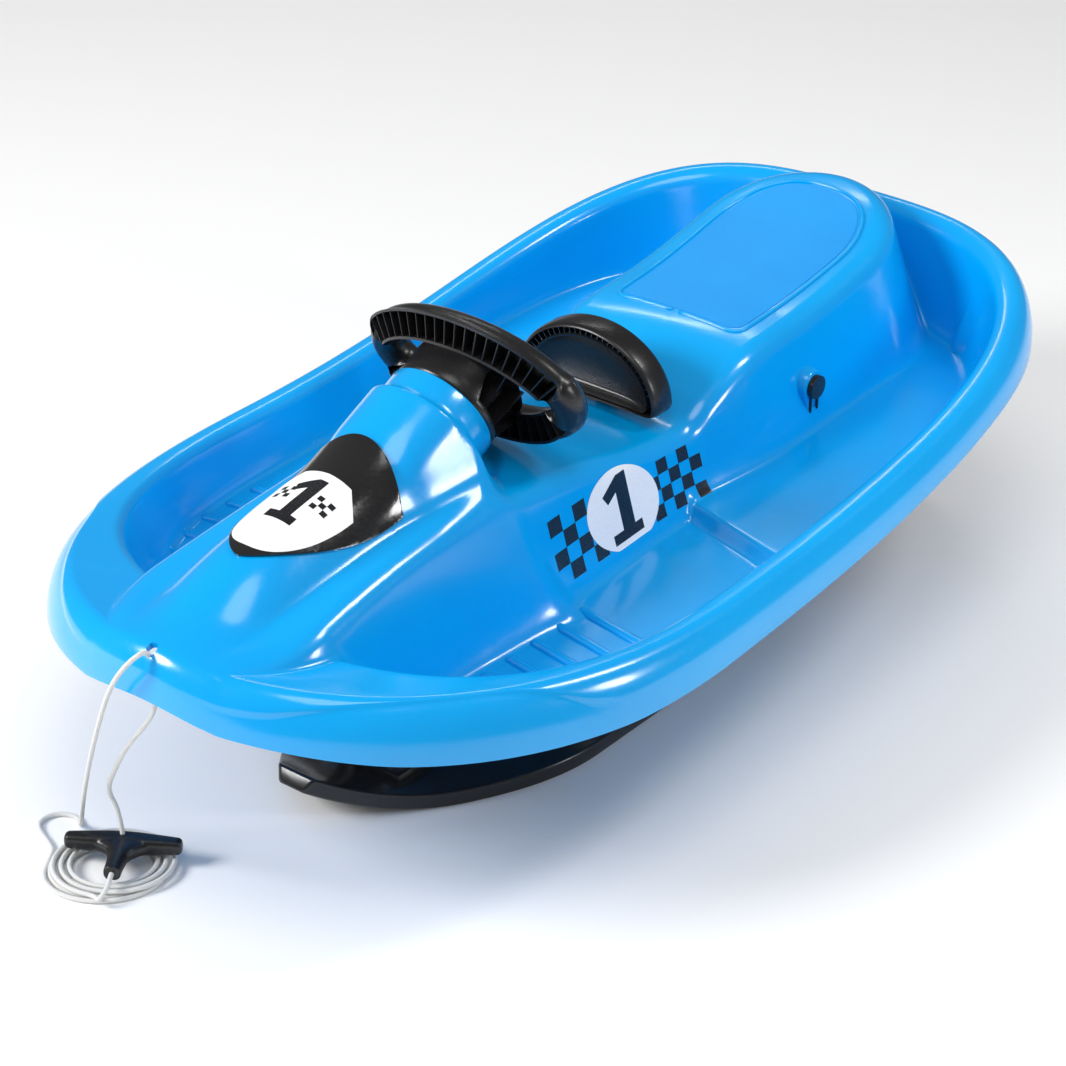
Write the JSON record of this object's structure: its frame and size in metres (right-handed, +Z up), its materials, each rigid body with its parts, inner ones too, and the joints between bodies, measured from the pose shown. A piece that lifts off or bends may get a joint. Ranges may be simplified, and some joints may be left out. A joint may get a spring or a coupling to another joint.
{
  "type": "steering sled",
  "caption": "Child's blue plastic sled with a steering wheel linked to a front ski, a hand brake with a toothed claw, foot wells and a tow rope.",
  "frame": {"origin": "on the floor under the middle of the sled", "axes": "+X to the nose, +Y to the rider's left, +Z up"},
  "size_m": [1.0014, 0.5404, 0.3609],
  "materials": {
    "shell": "glossy blue plastic",
    "black": "black plastic",
    "badge": "printed gloss label on black plastic",
    "bush": "pale slippery plastic",
    "steel": "zinc-plated steel",
    "rope": "braided white cord"
  },
  "bodies": {
    "sled": {"sled_shell": "shell", "badge_panel": "badge", "upper_column_bush": "bush", "lower_column_bush": "bush", "steering_frame": "black", "frame_screws": "steel", "kingpin_bush_upper": "bush", "kingpin_bush_lower": "bush", "brake_axle": "steel", "axle_cap_left": "black", "axle_cap_right": "black", "rear_keel": "black", "keel_screws": "steel", "tow_rope_top": "rope", "tow_rope_under": "rope", "tow_rope_pile": "rope", "tow_handle": "black"},
    "steering": {"steering_wheel": "black", "wheel_cap": "black", "wheel_screw": "steel", "steering_column": "steel", "column_clip": "steel", "crank_arm": "black", "crank_ball": "steel"},
    "ski": {"steering_ski": "black", "ski_bracket": "black", "ski_bolts": "steel", "kingpin": "steel", "tiller_arm": "black", "kingpin_nut": "steel"},
    "brake": {"brake_lever": "black", "brake_handle": "black", "handle_screws": "steel", "brake_claw": "steel", "claw_bolts": "steel"}
  },
  "joints": [
    {"name": "wheel_turn", "type": "hinge", "parent": "sled", "child": "steering", "pos_m": [0.095, 0, 0.308], "axis": [-0.9063, 0, 0.4226], "range_deg": [-28, 28]},
    {"name": "ski_turn", "type": "hinge", "parent": "sled", "child": "ski", "pos_m": [0.23868, 0, 0.12], "axis": [0, 0, 1], "range_deg": [-23, 23]},
    {"name": "brake_pull", "type": "hinge", "parent": "sled", "child": "brake", "pos_m": [-0.217, 0, 0.196], "axis": [0, -1, 0], "range_deg": [0, 14]}
  ],
  "couplings": [
    {"joint": "ski_turn", "follows": "wheel_turn", "ratio": 0.79}
  ]
}
